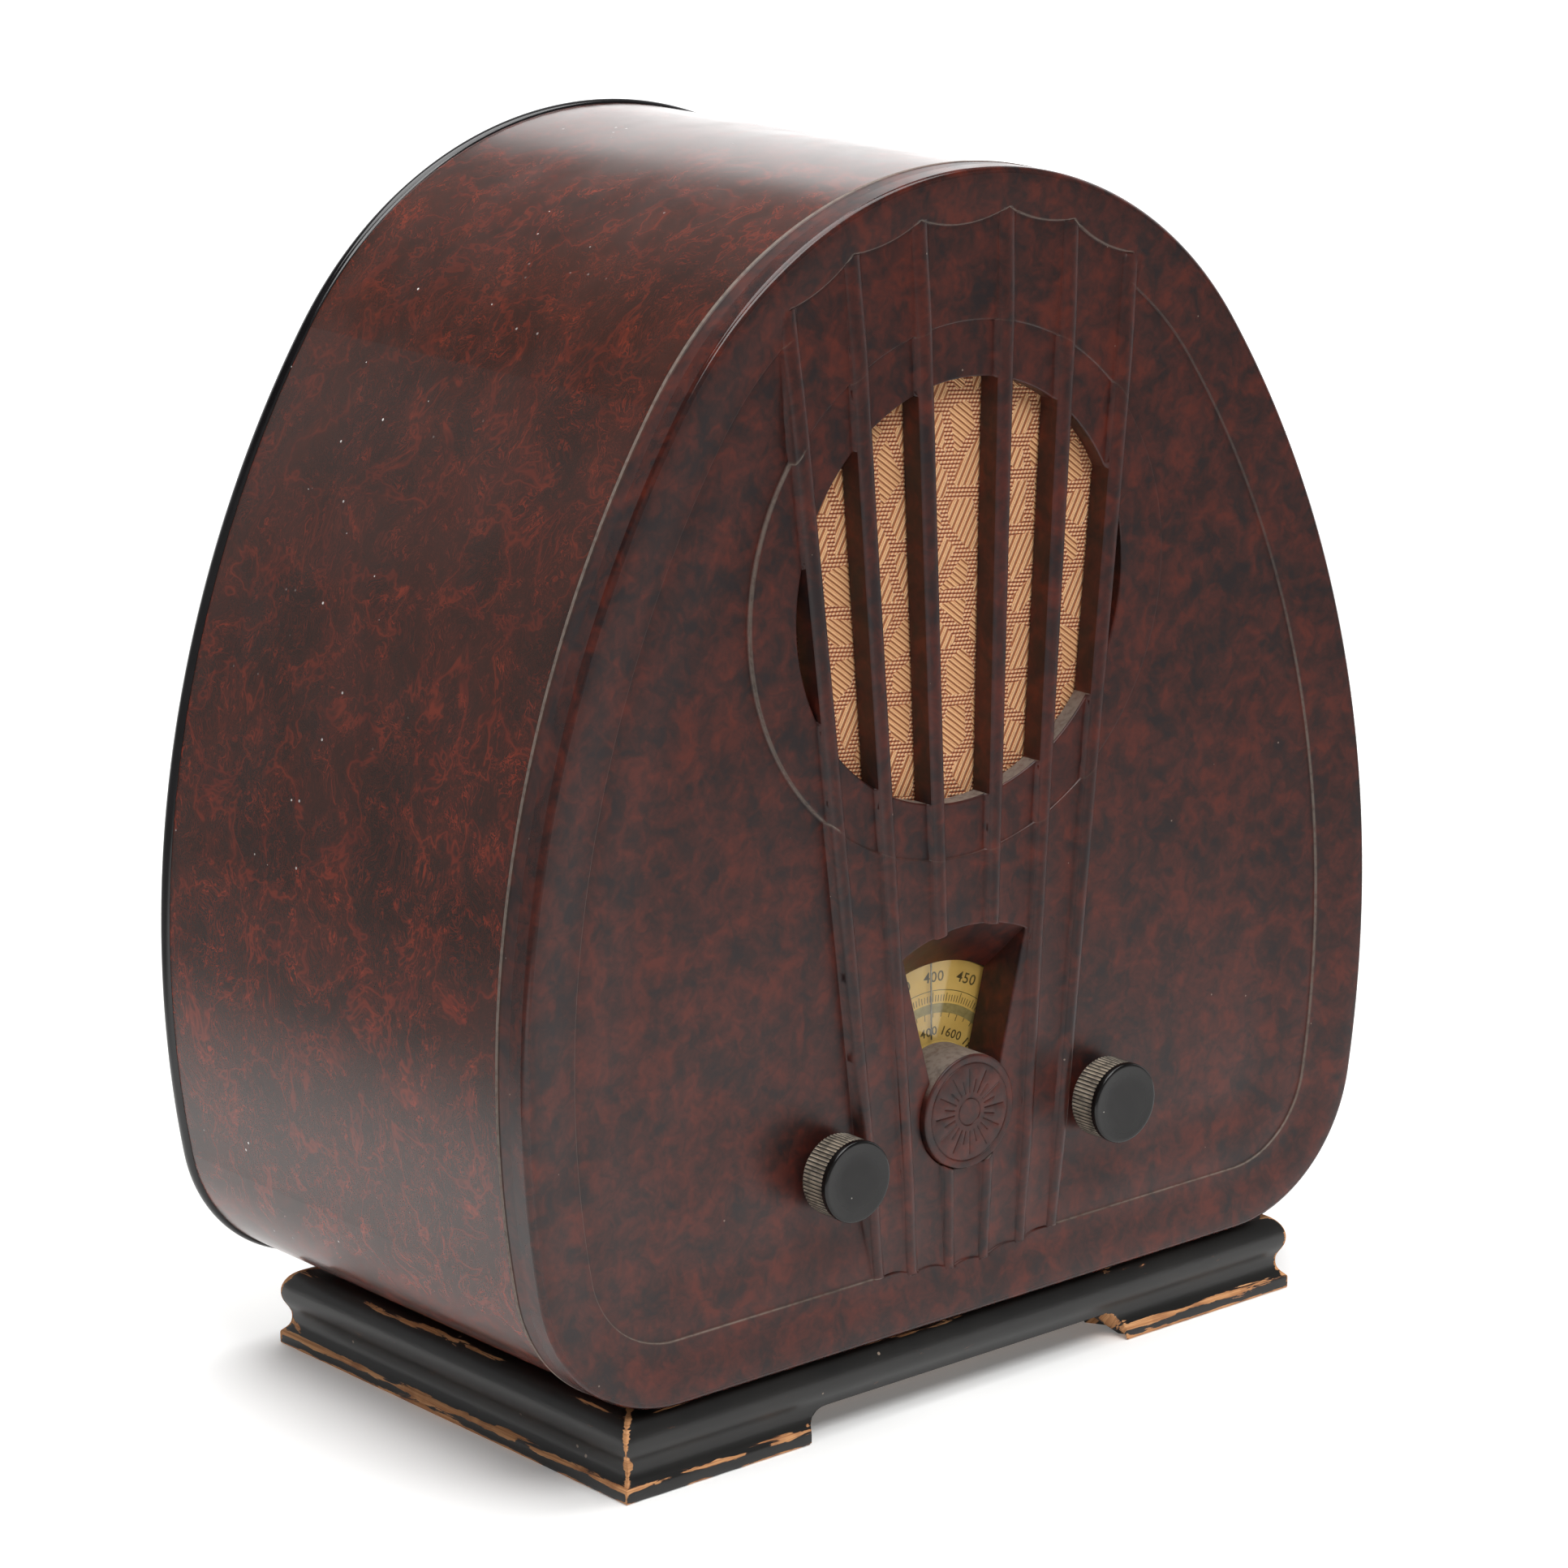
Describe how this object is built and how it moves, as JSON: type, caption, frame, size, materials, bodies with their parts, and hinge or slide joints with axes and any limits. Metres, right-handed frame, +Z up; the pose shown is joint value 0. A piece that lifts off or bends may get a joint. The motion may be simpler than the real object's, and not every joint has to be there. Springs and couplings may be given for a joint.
{
  "type": "table radio",
  "caption": "Egg-shaped moulded table radio on a wooden plinth, with a ribbed speaker grille, a dial window and two turning knobs.",
  "frame": {"origin": "on the ground, at the middle of the radio's overall width and depth", "axes": "+X to the right seen from the front, +Y from the front to the back, +Z up"},
  "size_m": [0.4314, 0.25, 0.4824],
  "materials": {
    "front_bakelite": "satin moulded bakelite, red-brown with dark mottling",
    "burl_wrap": "glossy resin laminate with a printed burl figure",
    "bead_black": "gloss black",
    "cover_board": "brown pressed board",
    "screw_steel": "plain steel",
    "plain_wood": "unfinished plywood",
    "plinth_paint": "black paint, chipped to bare wood at the edges",
    "grille_cloth": "woven golden tan",
    "frame_enamel": "black enamel",
    "cone_paper": "grey pressed paper",
    "coil_copper": "fine copper wire",
    "spider_cloth": "varnished cloth",
    "winding_paper": "waxed paper",
    "turned_brass": "turned brass",
    "dial_scale": "yellowed translucent celluloid with printed scales",
    "plate_aluminium": "plain aluminium",
    "clear_pane": "clear celluloid",
    "lamp_glass": "clear glass",
    "chassis_steel": "zinc plated sheet steel",
    "knob_black": "satin black moulding, fine ribs",
    "moulded_black": "black moulding",
    "valve_glass": "glass, silvered inside",
    "core_iron": "varnished laminations",
    "strip_laminate": "brown resin paper laminate"
  },
  "bodies": {
    "cabinet": {"front_panel": "front_bakelite", "front_emblem": "front_bakelite", "body_shell": "burl_wrap", "back_rim": "bead_black", "back_cover": "cover_board", "back_cover_screws": "screw_steel", "cover_fixing_blocks": "plain_wood", "plinth_front_rail": "plinth_paint", "plinth_back_rail": "plinth_paint", "plinth_left_rail": "plinth_paint", "plinth_right_rail": "plinth_paint", "plinth_top_board": "plain_wood", "speaker_cloth": "grille_cloth", "baffle_board": "plain_wood", "baffle_screws": "screw_steel", "speaker_frame": "frame_enamel", "cone_surround": "cone_paper", "speaker_spider": "spider_cloth", "speaker_magnet": "frame_enamel", "field_coil": "winding_paper", "dial_window_pane": "clear_pane", "dial_cursor": "screw_steel", "dial_lamp": "lamp_glass", "lamp_holder": "chassis_steel", "spindle_bushes": "turned_brass", "control_brackets": "chassis_steel", "volume_potentiometer": "moulded_black", "gang_frame": "chassis_steel", "gang_stator": "plate_aluminium", "valve_rf": "valve_glass", "valve_detector": "valve_glass", "valve_output": "valve_glass", "valve_rectifier": "valve_glass", "valve_bases": "moulded_black", "valve_sockets": "moulded_black", "chassis_pan": "chassis_steel", "chassis_screws": "screw_steel", "coil_cans": "plate_aluminium", "smoothing_capacitors": "plate_aluminium", "mains_transformer_core": "core_iron", "mains_transformer_winding": "winding_paper", "output_transformer": "core_iron", "terminal_strip": "strip_laminate", "terminal_sockets": "turned_brass", "mains_inlet": "moulded_black", "wave_switch_body": "moulded_black"},
    "volume_control": {"knob_volume": "knob_black", "volume_grub_screw": "screw_steel", "volume_spindle": "turned_brass"},
    "tuning_control": {"knob_tuning": "knob_black", "tuning_grub_screw": "screw_steel", "tuning_spindle": "turned_brass", "pinch_washers": "turned_brass"},
    "tuning_gang": {"gang_rotor": "plate_aluminium", "dial_hub": "turned_brass", "dial_disc": "dial_scale", "drive_disc": "plate_aluminium"},
    "wave_lever": {"wave_switch_lever": "screw_steel"},
    "moving_cone": {"speaker_cone": "cone_paper", "voice_coil": "coil_copper"}
  },
  "joints": [
    {"name": "volume_turn", "type": "hinge", "parent": "cabinet", "child": "volume_control", "pos_m": [-0.0693, -0.11, 0.1069], "axis": [0, 1, 0], "range_deg": [-150, 150]},
    {"name": "gang_turn", "type": "hinge", "parent": "cabinet", "child": "tuning_gang", "pos_m": [0, -0.06, 0.116], "axis": [0, 1, 0], "range_deg": [-90, 90]},
    {"name": "tuning_turn", "type": "hinge", "parent": "cabinet", "child": "tuning_control", "pos_m": [0.0693, -0.11, 0.1069], "axis": [0, 1, 0], "range_deg": [-694, 694]},
    {"name": "wave_lever_turn", "type": "hinge", "parent": "cabinet", "child": "wave_lever", "pos_m": [0.092, 0.1, 0.056], "axis": [0, 1, 0], "range_deg": [-20, 20]},
    {"name": "cone_travel", "type": "slide", "parent": "cabinet", "child": "moving_cone", "axis": [0, 1, 0], "range_m": [-0.0008, 0.0008], "stiffness_N_per_m": 3000}
  ],
  "couplings": [
    {"joint": "tuning_turn", "follows": "gang_turn", "ratio": -7.7}
  ]
}
